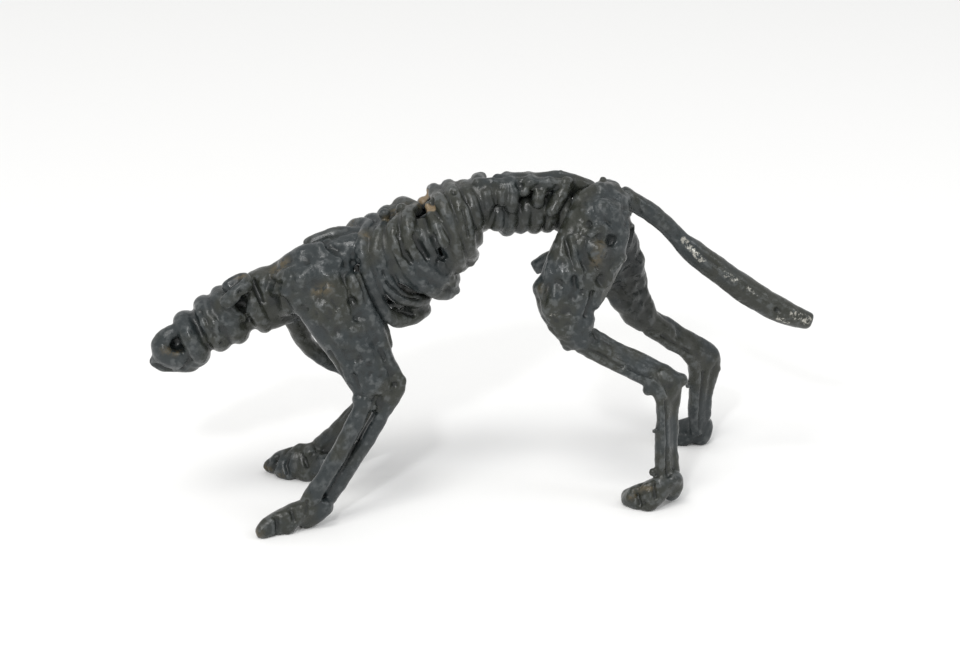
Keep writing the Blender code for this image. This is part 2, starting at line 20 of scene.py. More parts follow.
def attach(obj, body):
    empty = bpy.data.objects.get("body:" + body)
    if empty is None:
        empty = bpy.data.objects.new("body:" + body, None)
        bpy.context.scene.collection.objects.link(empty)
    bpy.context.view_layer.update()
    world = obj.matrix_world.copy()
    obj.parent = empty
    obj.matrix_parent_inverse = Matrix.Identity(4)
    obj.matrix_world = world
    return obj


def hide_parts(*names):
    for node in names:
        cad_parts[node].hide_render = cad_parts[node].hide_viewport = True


MM = 0.001

# The photograph's view
PHOTO_SIZE = (960, 645)
PIXEL = 0.2667 * MM
VIEW_AZIMUTH = math.radians(-11.0)
VIEW_ELEVATION = math.radians(20.0)
VIEW_DISTANCE = 700 * MM
VIEW_TARGET = Vector((-2.263, -0.768, 48.248)) * MM
SENSOR_WIDTH_MM = 36.0
VIEW_BACK = Vector((
    math.sin(VIEW_AZIMUTH) * math.cos(VIEW_ELEVATION),
    -math.cos(VIEW_AZIMUTH) * math.cos(VIEW_ELEVATION),
    math.sin(VIEW_ELEVATION),
))
VIEW_RIGHT = Vector((0.0, 0.0, 1.0)).cross(VIEW_BACK).normalized()
VIEW_UP = VIEW_BACK.cross(VIEW_RIGHT)
VIEW_EYE = VIEW_TARGET + VIEW_BACK * VIEW_DISTANCE
VIEW_FOCAL = VIEW_DISTANCE / PIXEL
MIDLINE = VIEW_TARGET.y

# How the rods melt together
VOXEL = 0.375 * MM
ROUNDING = 2
GROW_WIRE = 0.44 * MM
GROW_ROD = 0.40 * MM
GROW_FLESH = 0.20 * MM
SOFTEN_FACTOR = 0.5
SOFTEN_ROUNDS = 5
WELD = 0.03 * MM
BALL_DETAIL = 3
ROD_SIDES = 12
BAND_STEPS = 40

# How metal runs into creases: rounds of blending, and the share of a hollow's depth that fills up.
# Away from the seams a crease fills up in blots: a base and a swing, up to a most
SEAM_ROUNDS = 110
SEAM_SHARE = 0.85
WEB_ROUNDS = 45
WEB_SIZE = 9 * MM
WEB_BASE = 0.1
WEB_SWING = 1.5
WEB_MOST = 0.7

# Where the lumps' noise starts, how far it shifts for each further layer, and its share away from
# the roughest places
LUMP_START = 7
LUMP_SHIFT = (3.7, -5.1)
CALM_SHARE = 0.26

# How far round a line its marks are felt, in widths, and how crests are told from hollows
NEAR_REACH = 3
CREST_ROUNDS = 14
CREST_HEIGHT = 0.12 * MM

# The pieces that show, each melted from these CAD nodes
FOREQUARTERS = [
    "nose", "head_coil", "left_ear", "right_ear", "neck", "left_shoulder", "right_shoulder",
    "left_foreleg_front_rod", "left_foreleg_rear_rod", "right_foreleg_front_rod",
    "right_foreleg_rear_rod", "left_forepaw", "right_forepaw",
]
RIBCAGE = (
    ["spine_rod", "waist_coil"]
    + [f"rib_{k}" for k in range(1, 9)]
    + [f"{side}_short_rib_{k}" for side in ("left", "right") for k in (1, 2)]
)
HINDQUARTERS = [
    "left_haunch", "right_haunch", "left_hind_leg_front_wire", "left_hind_leg_rear_wire",
    "right_hind_leg_front_wire", "right_hind_leg_rear_wire", "left_hind_paw", "right_hind_paw",
    "sheath_stub",
]

FLESH = {
    "nose", "neck", "left_shoulder", "right_shoulder", "left_haunch", "right_haunch",
    "left_forepaw", "right_forepaw", "left_hind_paw", "right_hind_paw",
}
THICK_RODS = {
    "spine_rod", "left_foreleg_front_rod", "left_foreleg_rear_rod", "right_foreleg_front_rod",
    "right_foreleg_rear_rod",
}
# The skull's fat bands are modelled afresh, in this node's place
REMADE = "head_coil"

# Brazing metal that fills corners between rods: a radius in millimetres, and the places it runs by
FORE_FILLS = [
    (1.5, [(380, 318, -9.5), (385, 332, -9.8), (387, 345, -10.5)]),
    (1.6, [(374, 385, -12.4), (366, 402, -13), (352, 432, -14.2), (334, 466, -15.2)]),
    (2.1, [(352, 432, -14.0), (342, 450, -14.6), (332, 468, -15.0), (322, 486, -15.6)]),
    (1.3, [(376, 392, 12.4), (360, 412, 13.4), (342, 432, 15), (326, 448, 16.4)]),
    (1.6, [(262, 316, -1), (268, 324, -0.5)]),
    (5.6, [(196, 334, 0), (214, 325, 0), (232, 316, 0), (250, 307, 0)]),
    (3.2, [(282, 274, 0), (302, 258, 0), (320, 251, 0), (340, 239, 0), (358, 238, 0)]),
    (3.4, [(290, 280, -2), (306, 272, -4), (326, 262, -5), (344, 260, -6)]),
    (3.0, [(284, 294, -3), (298, 286, -6), (312, 276, -7.4)]),
    (4.2, [(272, 294, -1.5), (288, 286, -5.5), (304, 278, -8.5)]),
    (4.2, [(276, 306, -1.5), (290, 300, -5.5), (306, 296, -8.5)]),
    (3.6, [(290, 268, -2), (306, 258, -4.5), (322, 254, -6)]),
    (3.0, [(304, 256, 0), (322, 246, 0), (345, 240, 0), (365, 236, -1)]),
    (2.6, [(344, 244, -4), (356, 242, -5), (364, 256, -8)]),
    (3.0, [(300, 262, -3.5), (318, 253, -4.8), (338, 250, -5.4), (356, 246, -5.4)]),
    (2.6, [(364, 372, -12.4), (373, 388, -13), (386, 395, -12.4)]),
    (2.2, [(360, 400, -14.2), (372, 404, -13.2)]),
    (2.0, [(354, 282, -9.6), (364, 305, -10.6), (374, 330, -11), (382, 352, -11.6)]),
    (3.4, [(290, 280, 2), (306, 272, 4), (326, 262, 5), (344, 260, 6)]),
]
# Fat bands round the skull: where each crosses the skull's axis, its outer radius and half its
# thickness. The line is the axis itself
HEAD_BANDS = [
    (192, 338, 7.5, 3.0), (213, 323, 8.1, 3.0), (229, 315, 8.3, 3.0), (255, 304, 8.3, 2.3),
]
HEAD_LINE = ((197, 332, 0), (254, 305, 0))
RIB_FILLS = [
    (1.6, [(484, 196, 0), (510, 191, 0), (540, 191, 0), (574, 192, 0)]),
    (2.0, [(384, 246, -8.2), (392, 262, -9.2), (402, 276, -9.2), (420, 286, -8.4)]),
    (2.0, [(398, 240, -8.4), (408, 258, -9.6), (420, 272, -9.6), (436, 284, -7.4)]),
    (1.8, [(414, 232, -8.4), (426, 252, -9.6), (434, 268, -9), (446, 278, -6)]),
    (1.6, [(396, 312, -7.4), (410, 312, -6), (424, 304, -3)]),
    (2.0, [(484, 187, 0), (510, 183, 0), (545, 182, 0), (576, 187, 0)]),
    (1.3, [(444, 274, -7), (452, 284, -5), (455, 290, -2)]),
    (1.7, [(430, 262, -8.8), (438, 272, -8), (448, 278, -6)]),
    (1.6, [(446, 246, -8.6), (452, 258, -7.6), (458, 268, -5)]),
    (2.0, [(384, 246, -8.6), (396, 248, -9.6), (410, 246, -9.4)]),
    (2.1, [(427, 250, -9.4), (436, 262, -8.8), (446, 270, -6.6)]),
    (1.8, [(486, 185, -3.0), (486, 192, -4.6), (488, 204, -5.6)]),
    (1.6, [(499, 185, -3.0), (500, 192, -4.6), (501, 200, -5.2)]),
    (1.9, [(511, 184, -3.0), (513, 192, -4.6), (512, 206, -5.6)]),
    (1.5, [(524, 184, -3.0), (524, 192, -4.4)]),
    (1.8, [(541, 184, -3.0), (540, 192, -4.6), (538, 202, -5.4)]),
    (1.9, [(568, 184, -3.0), (560, 196, -4.6), (552, 210, -5.4)]),
    (1.6, [(478, 183, -2.6), (500, 184, -3.0), (530, 183, -3.2), (556, 184, -3.0)]),
    (1.2, [(462, 240, -7), (467, 252, -5.4), (470, 262, -2.4)]),
]
# Metal between the ribs on the hidden side, mirrored from these places
FAR_WEBS = [
    (1.9, [(371, 250, -9), (374, 272, -9.6), (382, 292, -9.6), (396, 307, -8)]),
    (1.9, [(384, 242, -9), (388, 262, -9.6), (398, 278, -9.6), (412, 292, -8), (428, 294, -4)]),
    (1.9, [(400, 238, -9), (410, 258, -9.6), (422, 273, -9.6), (438, 284, -7)]),
    (1.9, [(417, 235, -9), (424, 250, -9.8), (432, 263, -9), (444, 276, -6)]),
    (1.9, [(432, 232, -9), (440, 247, -9.6)]),
    (1.9, [(436, 256, -8.6), (446, 268, -7.4), (454, 280, -4)]),
    (1.8, [(446, 225, -8.6), (455, 243, -8.8), (460, 260, -6)]),
]
HIND_FILLS = [
    (2.8, [(600, 193, -6), (606, 191, 0), (612, 193, 6)]),
    (2.8, [(617, 203, -6), (622, 200, 0), (626, 205, 6)]),
    (1.7, [(592, 343, -13.6), (612, 352, -14.4), (634, 364, -15.8), (654, 376, -17)]),
    (2.9, [(572, 328, -13.2), (584, 344, -14), (602, 353, -14.8)]),
    (2.4, [(640, 308, 12.4), (652, 320, 13), (668, 332, 13.4)]),
    (2.5, [(662, 376, -16.8), (675, 381, -16.4), (668, 394, -17.4)]),
    (2.2, [(698, 352, 15.4), (710, 356, 16.8), (704, 368, 16.6)]),
    (1.5, [(666, 390, -17.8), (667, 430, -18.2), (667, 465, -18.6), (668, 484, -19)]),
    (1.5, [(705, 365, 15.8), (701, 400, 17.8), (699, 428, 19)]),
    (1.4, [(662, 330, 13), (682, 341, 13.6), (700, 355, 15.4)]),
    (1.5, [(650, 370, -16.4), (662, 380, -17.2), (668, 392, -17.6)]),
    (1.1, [(628, 362, -15), (642, 369, -16), (654, 376, -16.8)]),
    (1.5, [(694, 350, 14.8), (702, 362, 15.6), (704, 376, 16.6)]),
    (1.1, [(676, 338, 14), (688, 345, 14.4)]),
]

# Round knobs of metal: (across, down, side, radius in millimetres)
FORE_KNOBS = [
    (399, 381, -12.6, 2.0), (310, 452, 16.5, 2.0),
]
RIB_KNOBS = [
    (497, 179, 0, 1.5), (478, 182, 0, 1.6), (531, 180, 0, 1.6), (513, 183, -2.4, 1.2),
    (543, 184, -2.4, 1.3), (430, 206, -3.4, 1.6), (402, 209, -1.5, 1.8), (385, 214, -1, 1.6),
]
HIND_KNOBS = [
    (648, 390, -18.6, 1.65), (653, 472, -20.6, 1.1), (654, 431, -20.2, 0.7), (681, 380, -16.4, 1.9),
    (672, 490, -17.6, 2.2), (687, 385, 15.2, 1.0), (716, 368, 17.6, 1.3), (712, 352, 17.2, 1.7),
    (560, 175, 0, 1.4), (603, 180, -1, 1.0),
]

# What the camera sees of the surface: dents and bumps are (across, down, width, depth), and lines
# are (width, depth, places). A depth above 0 stands out.
FORE_MARKS = [
    (178, 343, 6.0, -2.6), (192, 331, 3.0, -0.6), (190, 327, 4.0, 0.4), (228, 319, 4.0, -0.5),
    (272, 285, 3.0, -0.6), (325, 309, 8.0, 0.5), (334, 291, 4.0, 0.4), (347, 292, 5.0, 0.45),
    (360, 359, 3.5, -0.6), (357, 329, 5.0, 0.35), (360, 345, 5.0, 0.35), (367, 398, 5.0, 0.45),
    (330, 245, 6.0, -1.5), (338, 250, 5.0, -1.2), (326, 240, 4.0, -0.7), (395, 385, 3.5, -0.8),
    (312, 513, 4.0, 0.4), (243, 300, 6.0, -1.2),
    (275, 300, 10.0, -0.6), (286, 318, 6.0, -0.6), (300, 270, 12.0, 0.5), (334, 275, 10.0, 0.6),
    (318, 290, 6.0, -0.5), (344, 312, 8.0, 0.5), (336, 330, 5.0, -0.4), (352, 350, 5.0, -0.4),
    (348, 338, 6.0, 0.4), (360, 378, 5.0, -0.4), (378, 385, 5.0, 0.4), (345, 280, 5.0, -0.5),
    (262, 530, 5.0, 0.6), (274, 521, 5.0, 0.6), (288, 514, 5.0, 0.6), (302, 508, 5.0, 0.5),
    (318, 500, 5.0, 0.5), (270, 466, 4.0, 0.5), (280, 460, 4.0, 0.5), (292, 457, 5.0, 0.5),
    (304, 456, 4.0, 0.5), (308, 262, 5.0, -0.7), (338, 262, 5.0, 0.6), (352, 300, 4.0, -0.6),
    (330, 312, 4.0, -0.5),
    (316, 322, 6.0, 0.5), (328, 345, 5.0, 0.5), (366, 348, 5.0, 0.5), (370, 365, 4.0, -0.6),
    (358, 318, 4.0, -0.5), (298, 292, 5.0, 0.6), (304, 308, 5.0, -0.6), (345, 265, 4.0, -0.6),
    (322, 264, 7.0, 0.5), (264, 280, 6.0, 0.5), (282, 268, 6.0, 0.5), (272, 294, 5.0, 0.4),
]
FORE_LINES = [
    (2.6, -1.0, [(199, 311), (206, 320), (211, 330), (214, 336)]),
    (2.6, -1.2, [(240, 292), (243, 305), (249, 320), (253, 336)]),
    (3.0, -1.0, [(253, 280), (257, 290), (262, 302)]),
    (2.2, -0.8, [(150, 359), (158, 366), (170, 371)]),
    (2.6, -0.8, [(185, 350), (190, 360), (183, 369)]),
    (3.0, 0.5, [(163, 349), (170, 352), (180, 354)]),
    (2.5, -0.8, [(222, 344), (229, 350)]),
    (3.0, -0.7, [(285, 300), (291, 310), (300, 321)]),
    (2.6, -0.5, [(381, 398), (366, 425), (350, 452)]),
    (2.4, -1.0, [(276, 519), (278, 527), (276, 536)]),
    (2.4, -0.9, [(291, 511), (294, 520), (298, 528)]),
    (2.4, -0.7, [(306, 502), (306, 512)]),
    (2.4, -1.0, [(277, 461), (272, 469), (267, 473)]),
    (2.4, -0.9, [(291, 455), (286, 465), (288, 474)]),
    (2.4, -0.7, [(303, 455), (307, 466)]),
    (2.4, -0.6, [(330, 352), (338, 366), (344, 380)]),
    (2.5, 0.4, [(313, 300), (324, 322), (340, 345), (352, 372)]),
    (2.2, -0.35, [(317, 312), (313, 303), (320, 297), (331, 300), (336, 308)]),
    (2.6, -0.7, [(352, 262), (358, 276), (364, 290), (366, 304)]),
    (2.4, -0.6, [(343, 352), (352, 370), (358, 388)]),
    (2.2, -0.5, [(270, 278), (278, 284), (286, 283)]),
    (3.0, -0.8, [(381, 350), (386, 364), (394, 374)]),
    (2.5, 0.4, [(379, 345), (383, 360), (392, 372), (398, 379)]),
]
RIB_MARKS = [
    (431, 203, 5.0, -1.2), (453, 191, 5.0, -1.2), (391, 213, 4.0, -0.8), (433, 290, 5.0, 0.4),
    (440, 262, 4.0, -1.5), (384, 275, 5.0, -1.4), (492, 180, 4.5, 0.8), (508, 177, 5.0, 0.7),
    (531, 177, 5.0, 0.8), (549, 180, 4.5, 0.7), (520, 185, 4.0, -0.9), (500, 187, 3.5, -0.7),
    (540, 188, 4.0, -0.8), (565, 181, 4.5, 0.6), (556, 186, 3.5, -0.6), (484, 188, 4.0, -0.6),
    (400, 240, 5.0, 0.5), (412, 270, 5.0, 0.5), (392, 262, 5.0, -0.6), (424, 282, 4.0, 0.5),
    (404, 256, 4.0, -0.6), (418, 262, 4.0, -0.6), (372, 250, 4.0, 0.5), (378, 262, 4.0, -0.7),
]
RIB_LINES = [
    (3.0, -1.4, [(357, 262), (360, 278), (368, 298)]),
    (3.0, -1.4, [(386, 284), (400, 292), (418, 298), (432, 299)]),
    (3.0, -1.4, [(389, 300), (400, 309), (413, 314)]),
    (2.6, -1.2, [(415, 236), (420, 247), (427, 258)]),
    (2.6, -1.2, [(433, 236), (439, 248), (443, 258)]),
    (2.6, -1.0, [(463, 210), (466, 224), (468, 236)]),
    (2.6, -0.8, [(398, 236), (403, 250), (410, 262)]),
]
HIND_MARKS = [
    (604, 208, 12.0, 1.0), (598, 251, 8.0, 0.8), (590, 224, 3.4, -1.9), (614, 242, 8.0, -2.6),
    (601, 279, 6.5, -1.8), (583, 292, 3.5, -1.2), (541, 289, 4.0, 0.7), (670, 379, 4.0, 0.3),
    (584, 264, 6.0, -0.8), (556, 262, 7.0, 0.5), (552, 300, 8.0, 0.4), (644, 503, 2.5, -0.9),
    (630, 272, 9.0, -1.3), (640, 262, 5.0, 0.7), (634, 296, 7.0, 0.5), (567, 331, 2.5, -1.2),
    (590, 300, 9.0, 0.6), (620, 196, 6.0, 0.7), (575, 215, 6.0, -0.7), (560, 285, 4.0, -0.8),
    (632, 490, 5.0, 0.6), (645, 487, 5.0, 0.6), (660, 485, 4.0, 0.5), (628, 498, 4.0, 0.5),
    (674, 480, 4.0, 0.5), (588, 196, 6.0, -0.6), (612, 222, 5.0, 0.6), (600, 236, 4.0, -0.8),
    (570, 262, 4.0, 0.6),
    (548, 276, 5.0, 0.5), (556, 298, 5.0, 0.6), (572, 298, 5.0, -0.7), (575, 322, 6.0, 0.5),
    (555, 322, 4.0, -0.6), (584, 335, 5.0, -0.5), (626, 225, 4.0, -0.6), (641, 280, 4.0, -0.6),
    (630, 308, 5.0, 0.5), (648, 292, 5.0, 0.5), (598, 310, 5.0, 0.6), (560, 240, 5.0, -0.5),
    (565, 312, 5.0, -0.5), (643, 300, 4.0, -0.6), (620, 288, 8.0, -1.2), (650, 318, 5.0, 0.5),
]
HIND_LINES = [
    (2.4, -1.0, [(641, 485), (637, 494), (640, 505)]),
    (2.4, -0.8, [(653, 485), (655, 497)]),
    (3.0, 0.7, [(570, 237), (574, 252), (580, 268), (581, 285)]),
    (2.8, -1.1, [(565, 238), (569, 254), (574, 270), (575, 290)]),
    (2.6, 0.7, [(577, 226), (584, 233), (591, 235), (598, 232)]),
    (2.6, 0.7, [(593, 224), (605, 226), (613, 233)]),
    (3.2, 1.1, [(626, 212), (631, 226), (628, 243), (621, 260), (611, 272), (608, 284)]),
    (2.8, -1.2, [(592, 292), (590, 304), (586, 316)]),
    (2.4, -0.8, [(586, 239), (584, 250), (589, 262), (597, 268)]),
    (2.4, 0.5, [(585, 292), (594, 288), (602, 290)]),
    (2.6, 0.4, [(549, 264), (545, 280), (541, 296), (546, 314), (558, 332)]),
    (2.6, -0.9, [(590, 350), (604, 357), (622, 366)]),
    (2.6, -1.0, [(630, 368), (640, 373), (650, 376)]),
    (2.4, -0.9, [(662, 336), (676, 344), (690, 352)]),
    (2.4, -0.8, [(703, 372), (701, 400), (700, 428)]),
    (2.5, 0.4, [(662, 408), (663, 440), (662, 468)]),
    (2.6, -0.9, [(667, 402), (668, 440), (668, 476)]),
    (2.4, -0.6, [(648, 488), (640, 494), (632, 500)]),
]
TAIL_MARKS = [
    (778, 311, 4.0, -1.2), (678, 236, 4.0, -0.5), (744, 290, 3.0, -0.5), (795, 311, 3.0, 0.3),
]
TAIL_LINES = [
    (3.0, -0.4, [(684, 240), (700, 254), (716, 266)]),
    (3.0, 0.4, [(690, 250), (730, 280), (770, 306)]),
    (2.6, -0.5, [(636, 200), (640, 212)]),
]

# Lumps of each piece: their size and height, in millimetres
FORE_LUMPS = [(6.0, 1.15), (2.8, 0.75), (1.3, 0.22)]
RIB_LUMPS = [(5.0, 1.3), (2.4, 0.6), (1.1, 0.08)]
HIND_LUMPS = [(6.0, 1.30), (2.8, 0.90), (1.3, 0.26)]
TAIL_LUMPS = [(6.0, 0.8), (2.4, 0.5), (1.0, 0.15)]

# Where a piece is lumpiest: a width in pixels and the places it runs by. Elsewhere it is calmer
FORE_ROUGH = [
    (28.0, [(285, 280), (320, 275), (345, 320), (372, 380)]), (14.0, [(200, 330), (240, 315)]),
]
RIB_ROUGH = [(6.0, [(482, 182), (530, 181), (574, 184)])]
HIND_ROUGH = [
    (36.0, [(606, 205), (585, 250), (565, 300), (575, 330)]), (22.0, [(636, 262), (640, 300)]),
]

# Patches of other colours: their kind, their width in pixels and the places they run by. The
# near-black patches are painted shade, on parts that lie in shadow
FORE_PATCHES = [
    ("umber_and_highlight", 5.0, [(258, 533)]), ("umber_and_highlight", 4.0, [(269, 469)]), ("umber_and_highlight", 4.0, [(281, 475)]),
    # The streak on the nose is a painted highlight; the other brown patches are stains
    ("umber_and_highlight", 7.0, [(276, 270), (284, 264)]), ("umber_and_highlight", 4.0, [(165, 350), (178, 352)]),
    ("umber_and_highlight", 5.0, [(316, 292), (328, 288)]), ("umber_and_highlight", 3.0, [(236, 276), (244, 276)]),
    # Painted shade under the throat
    ("painted_shade", 8.0, [(276, 300), (290, 318)]),
]
RIB_PATCHES = [
    ("tan", 5.0, [(426, 208), (434, 207)]), ("umber_and_highlight", 4.0, [(352, 234), (366, 236)]),
    ("umber_and_highlight", 4.0, [(386, 219), (420, 205)]),
    # Painted shade at the waist, under the belly and between the ribs
    ("painted_shade", 14.0, [(484, 208), (530, 212), (574, 208)]), ("painted_shade", 12.0, [(380, 300), (430, 302)]),
    ("painted_shade", 9.0, [(434, 252), (446, 268)]),
]
HIND_PATCHES = [
    ("umber_and_highlight", 4.0, [(542, 289)]), ("umber_and_highlight", 3.0, [(630, 498), (642, 488), (652, 488)]),
    # The bare patch on the lower thigh is a painted glint, not a chip
    ("umber_and_highlight", 6.0, [(596, 262), (600, 246)]), ("chips_and_glint", 2.0, [(545, 312), (556, 316)]),
    # Painted shade on the far thigh and in the haunch's hollows
    ("painted_shade", 20.0, [(632, 240), (636, 280), (645, 310)]), ("painted_shade", 7.0, [(612, 240), (602, 278)]),
]
TAIL_PATCHES = [
    ("chips_and_glint", 3.4, [(684, 240), (693, 250), (703, 262)]), ("chips_and_glint", 3.0, [(725, 274), (735, 280)]),
    ("chips_and_glint", 5.0, [(794, 314), (808, 321)]), ("chips_and_glint", 3.0, [(778, 318), (788, 322)]),
    ("chips_and_glint", 2.0, [(748, 288), (756, 295)]),
]

# Creases that metal has run into: a width in pixels and the places they run by
FORE_SEAMS = [
    (12.0, [(292, 262), (294, 285), (296, 305), (302, 325)]),
    (10.0, [(306, 246), (325, 236), (350, 236)]),
    (9.0, [(372, 385), (360, 400), (352, 425)]), (9.0, [(345, 350), (356, 380)]),
    (8.0, [(352, 265), (362, 290), (372, 330)]), (8.0, [(262, 300), (266, 320)]),
]
RIB_SEAMS = [
    (9.0, [(480, 188), (500, 190), (520, 190)]), (7.0, [(530, 188), (550, 190), (574, 190)]),
    (8.0, [(386, 240), (396, 262), (412, 280), (430, 290)]),
    (7.0, [(360, 232), (400, 212), (440, 200)]), (7.0, [(440, 255), (450, 275)]),
]
HIND_SEAMS = [
    (11.0, [(570, 330), (584, 344), (604, 354), (630, 364), (656, 378)]),
    (9.0, [(664, 392), (666, 430), (668, 480)]), (9.0, [(590, 184), (570, 205), (560, 230)]),
    (9.0, [(654, 325), (680, 340), (704, 356)]), (8.0, [(704, 365), (702, 400), (700, 430)]),
    (8.0, [(628, 190), (634, 215)]),
]

# Colours, as shares of the light that they give back
SLATE = (0.0190, 0.0245, 0.0262, 1.0)
OLIVE = (0.0222, 0.0240, 0.0185, 1.0)
# Near-black painted shade, for the hollows and for the parts that lie in shadow
SHADE_BLACK = (0.011, 0.013, 0.013, 1.0)
# Lighter paint on crests: partly worn paint, partly painted highlight
WEAR_AND_HIGHLIGHT = (0.090, 0.097, 0.098, 1.0)
# Brown stains, also used for a painted highlight on the nose
UMBER_AND_HIGHLIGHT = (0.075, 0.060, 0.034, 1.0)
TAN = (0.20, 0.145, 0.085, 1.0)
# Bare metal where the tail's paint is chipped, also used for a painted glint on the thigh
STEEL_AND_GLINT = (0.42, 0.41, 0.37, 1.0)

# What noise is like where nothing else is said
NOISE_DETAIL = 3.0
NOISE_ROUGHNESS = 0.55
# The paint's noise: how large its blots are, in millimetres, and where in it they begin and end
BLOTS = (14, 0.42, 0.58)
WEAR_AND_HIGHLIGHT_BLOTS = (1.6, 0.42, 0.62)
STAIN_AND_HIGHLIGHT_BLOTS = (1.2, 0.35, 0.6)
CHIPS_AND_GLINT_GRAIN = (1.1, 0.5, 0.6)
CHIP_DETAIL = 5.0
CHIP_ROUGHNESS = 0.7
# Painted shade in the hollows: where it begins in a hollow and where it is darkest, and how much of
# it there is
HOLLOW_SHADE = (-0.2, -1.0, 0.0, 0.7)
# Crests painted lighter, partly worn paint and partly painted highlight: where a crest begins to
# lighten and where it is lightest, and how much shows
CREST_WEAR_AND_HIGHLIGHT = (0.25, 1.0)
WEAR_AND_HIGHLIGHT_SHARE = 0.55
# How dark the painted shade patches are
PAINTED_SHADE_SHARE = 0.65
TAN_EDGE = (0.2, 0.6)
# Where the chips, and the painted glint, begin and where they show fully
CHIPS_AND_GLINT_EDGE = (0.2, 0.55)
# Gloss: a range of noise turned into a range of roughness, and the size of its blots
GLOSS = (0.35, 0.65, 0.25, 0.40)
GLOSS_SIZE = 3.0
SPECULAR = 0.40
# Relief in the shading: the size of its grain in millimetres, its strength and its depth
PORES = (0.5, 0.35, 0.12 * MM)
PORE_DETAIL = 3.0
PORE_ROUGHNESS = 0.6
WAVES = (1.7, 0.5, 0.25 * MM)
WAVE_DETAIL = 2.0

# The studio: the floor's half width and how far it lies under the soles, its paper, the room's
# light, and the soft lights with their places, sizes, powers and colours
FLOOR_REACH = 6.0
FLOOR_DROP = 0.05 * MM
PAPER = (0.86, 0.86, 0.855, 1)
PAPER_ROUGHNESS = 0.9
PAPER_SPECULAR = 0.1
WHITE = (1.0, 1.0, 1.0, 1.0)
ROOM_STRENGTH = 0.80
SOFTBOXES = [
    ("key", (-0.55, -0.75, 1.75), (0.7, 0.7), 14.5, (1.0, 0.99, 0.97)),
    ("rim", (0.60, -0.30, 0.55), (0.20, 0.40), 0.8, (0.94, 0.97, 1.0)),
    ("glint", (-0.25, -0.60, 0.50), (0.06, 0.06), 1.6, (1.0, 1.0, 1.0)),
]


class Looks(NamedTuple):
    """What one visible piece is made of and how its surface and paint look."""

    nodes: Sequence
    lumps: Sequence
    fills: Sequence = ()
    bands: Sequence = ()
    webs: Sequence = ()
    knobs: Sequence = ()
    rough: Sequence = ()
    seams: Sequence = ()
    marks: Sequence = ()
    lines: Sequence = ()
    patches: Sequence = ()


PIECES = {
    "forequarters": Looks(
        FOREQUARTERS, FORE_LUMPS, fills=FORE_FILLS, bands=HEAD_BANDS, knobs=FORE_KNOBS,
        rough=FORE_ROUGH, seams=FORE_SEAMS, marks=FORE_MARKS, lines=FORE_LINES,
        patches=FORE_PATCHES,
    ),
    "ribcage": Looks(
        RIBCAGE, RIB_LUMPS, fills=RIB_FILLS, webs=FAR_WEBS, knobs=RIB_KNOBS, rough=RIB_ROUGH,
        seams=RIB_SEAMS, marks=RIB_MARKS, lines=RIB_LINES, patches=RIB_PATCHES,
    ),
    "hindquarters": Looks(
        HINDQUARTERS, HIND_LUMPS, fills=HIND_FILLS, knobs=HIND_KNOBS, rough=HIND_ROUGH,
        seams=HIND_SEAMS, marks=HIND_MARKS, lines=HIND_LINES, patches=HIND_PATCHES,
    ),
    "tail_bar": Looks(
        ["tail"], TAIL_LUMPS, marks=TAIL_MARKS, lines=TAIL_LINES, patches=TAIL_PATCHES,
    ),
}


def view_ray(across, down):
    """The direction in which the photograph's eye sees this place."""
    return (
        VIEW_RIGHT * ((across - PHOTO_SIZE[0] / 2) / VIEW_FOCAL)
        - VIEW_UP * ((down - PHOTO_SIZE[1] / 2) / VIEW_FOCAL)
        - VIEW_BACK
    )


def seen(across, down, side):
    """The point in space at this place of the photograph and this far from the midline."""
    ray = view_ray(across, down)
    return VIEW_EYE + ray * ((MIDLINE + side * MM - VIEW_EYE.y) / ray.y)


def mirrored(point):
    """The same point on the hound's other side."""
    return Vector((point.x, 2 * MIDLINE - point.y, point.z))


def link(name, mesh):
    """An object with this mesh, in the scene."""
    obj = bpy.data.objects.new(name, mesh)
    bpy.context.scene.collection.objects.link(obj)
    return obj


def evaluated(obj):
    """The mesh that an object's modifiers make."""
    graph = bpy.context.evaluated_depsgraph_get()
    return bpy.data.meshes.new_from_object(obj.evaluated_get(graph))


def growth(name):
    """How much a CAD node grows: rounding off a wire's few sides makes it thinner."""
    if name in THICK_RODS:
        return GROW_ROD
    return GROW_FLESH if name in FLESH else GROW_WIRE


def add_node(work, node, grow):
    """Adds a CAD node's shape, rounded off and grown, so that it runs into its neighbours."""
    part = bmesh.new()
    part.from_mesh(node.data)
    bmesh.ops.remove_doubles(part, verts=part.verts, dist=WELD)
    bmesh.ops.recalc_face_normals(part, faces=part.faces)
    mesh = bpy.data.meshes.new("node")
    part.to_mesh(mesh)
    part.free()
    rounded = link("rounded", mesh)
    rounding = rounded.modifiers.new("rounding", "SUBSURF")
    rounding.levels = ROUNDING
    fine = evaluated(rounded)
    bpy.data.objects.remove(rounded)
    grown = bmesh.new()
    grown.from_mesh(fine)
    places = [vert.co + vert.normal * grow for vert in grown.verts]
    for vert, place in zip(grown.verts, places):
        vert.co = place
    grown.to_mesh(fine)
    grown.free()
    work.from_mesh(fine)
    bpy.data.meshes.remove(fine)


def add_ball(work, centre, radius):
    """Adds a ball."""
    bmesh.ops.create_icosphere(
        work, subdivisions=BALL_DETAIL, radius=radius, matrix=Matrix.Translation(centre)
    )


def add_rod(work, points, radius):
    """Adds a round-ended rod along the points."""
    for point in points:
        add_ball(work, point, radius)
    for start, end in zip(points, points[1:]):
        along = end - start
        turn = along.to_track_quat("Z", "Y").to_matrix().to_4x4()
        place = Matrix.Translation((start + end) / 2) @ turn
        bmesh.ops.create_cone(
            work, cap_ends=True, segments=ROD_SIDES, radius1=radius, radius2=radius,
            depth=along.length, matrix=place,
        )


